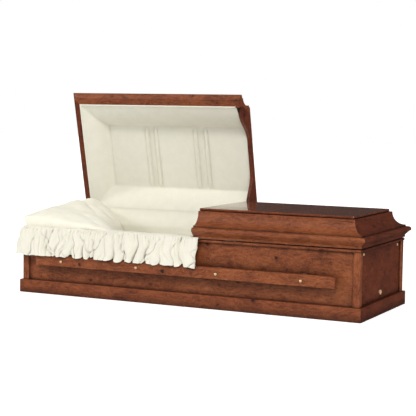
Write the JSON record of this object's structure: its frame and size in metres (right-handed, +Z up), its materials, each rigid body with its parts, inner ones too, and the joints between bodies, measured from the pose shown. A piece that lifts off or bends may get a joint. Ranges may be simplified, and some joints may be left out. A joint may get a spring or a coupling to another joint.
{
  "type": "wooden casket",
  "caption": "Half-couch wooden casket with moulded hinged lids, bar handles on its long sides and a cream padded lining, pillow and skirted overlay.",
  "frame": {"origin": "centre of the underside, on the floor", "axes": "+X towards the foot end, -Y towards the front, +Z up"},
  "size_m": [2.1188, 0.9028, 1.1565],
  "materials": {
    "stained_wood": "dark red-brown stain under satin lacquer, knotty grain",
    "plain_board": "unfinished board",
    "brass": "polished",
    "hinge_steel": "dulled plate",
    "cream_cloth": "soft crepe weave"
  },
  "bodies": {
    "casket": {"body_lining": "cream_cloth", "bottom_board": "plain_board", "foot_hinge_body_leaf": "hinge_steel", "foot_screw_back": "brass", "foot_screw_front": "brass", "foot_tube_cap": "brass", "handle_arm_back_1": "stained_wood", "handle_arm_back_2": "stained_wood", "handle_arm_back_3": "stained_wood", "handle_arm_back_4": "stained_wood", "handle_arm_front_1": "stained_wood", "handle_arm_front_2": "stained_wood", "handle_arm_front_3": "stained_wood", "handle_arm_front_4": "stained_wood", "handle_bar_back": "stained_wood", "handle_bar_front": "stained_wood", "handle_bolt_back_1": "brass", "handle_bolt_back_2": "brass", "handle_bolt_back_3": "brass", "handle_bolt_back_4": "brass", "handle_bolt_front_1": "brass", "handle_bolt_front_2": "brass", "handle_bolt_front_3": "brass", "handle_bolt_front_4": "brass", "head_hinge_body_leaf": "hinge_steel", "mattress": "cream_cloth", "overlay": "cream_cloth", "panel_back": "stained_wood", "panel_foot": "stained_wood", "panel_front": "stained_wood", "panel_head": "stained_wood", "pillow": "cream_cloth", "plinth_back": "stained_wood", "plinth_foot": "stained_wood", "plinth_front": "stained_wood", "plinth_head": "stained_wood", "post_back_foot": "stained_wood", "post_back_head": "stained_wood", "post_front_foot": "stained_wood", "post_front_head": "stained_wood", "rim_back": "stained_wood", "rim_foot": "stained_wood", "rim_front": "stained_wood", "rim_head": "stained_wood"},
    "head_lid": {"head_hinge_lid_leaf": "hinge_steel", "head_lid_header": "stained_wood", "head_lid_lining": "cream_cloth", "head_lid_moulding_back": "stained_wood", "head_lid_moulding_end": "stained_wood", "head_lid_moulding_front": "stained_wood", "head_lid_top": "stained_wood"},
    "foot_lid": {"foot_hinge_lid_leaf": "hinge_steel", "foot_lid_header": "stained_wood", "foot_lid_lining": "cream_cloth", "foot_lid_moulding_back": "stained_wood", "foot_lid_moulding_end": "stained_wood", "foot_lid_moulding_front": "stained_wood", "foot_lid_top": "stained_wood"}
  },
  "joints": [
    {"name": "head_lid_hinge", "type": "hinge", "parent": "casket", "child": "head_lid", "pos_m": [0, 0.3765, 0.4], "axis": [1, 0, 0], "range_deg": [0, 77]},
    {"name": "foot_lid_hinge", "type": "hinge", "parent": "casket", "child": "foot_lid", "pos_m": [0, 0.3765, 0.4], "axis": [1, 0, 0], "range_deg": [-77, 0]}
  ]
}
